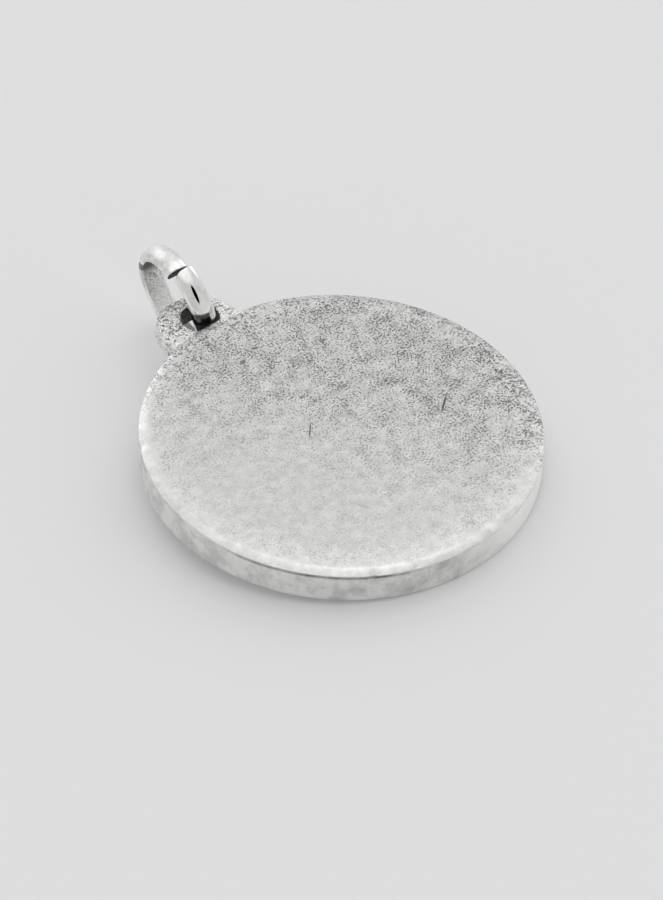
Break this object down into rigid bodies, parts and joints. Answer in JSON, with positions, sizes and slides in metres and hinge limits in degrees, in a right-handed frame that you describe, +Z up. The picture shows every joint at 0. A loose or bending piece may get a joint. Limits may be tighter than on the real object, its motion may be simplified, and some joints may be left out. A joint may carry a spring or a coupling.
{
  "type": "religious medal pendant",
  "caption": "Round cast silver medal with a plain worn back and a pierced eyelet on its edge, hung on a half-round jump ring, lying on its face.",
  "frame": {"origin": "centre of the medal's front face, which lies underneath", "axes": "+Z up from the surface it lies on, +Y from the medal's centre to its eyelet; the medal is tilted about 5 degrees about X, its eyelet end up, because the jump ring stands under it"},
  "size_m": [0.02, 0.0259, 0.0059],
  "materials": {
    "cast_silver": "cast sterling silver, worn and finely speckled",
    "polished_silver": "polished sterling silver"
  },
  "bodies": {
    "root": {"medal": "cast_silver", "jump_ring": "polished_silver"}
  },
  "joints": []
}
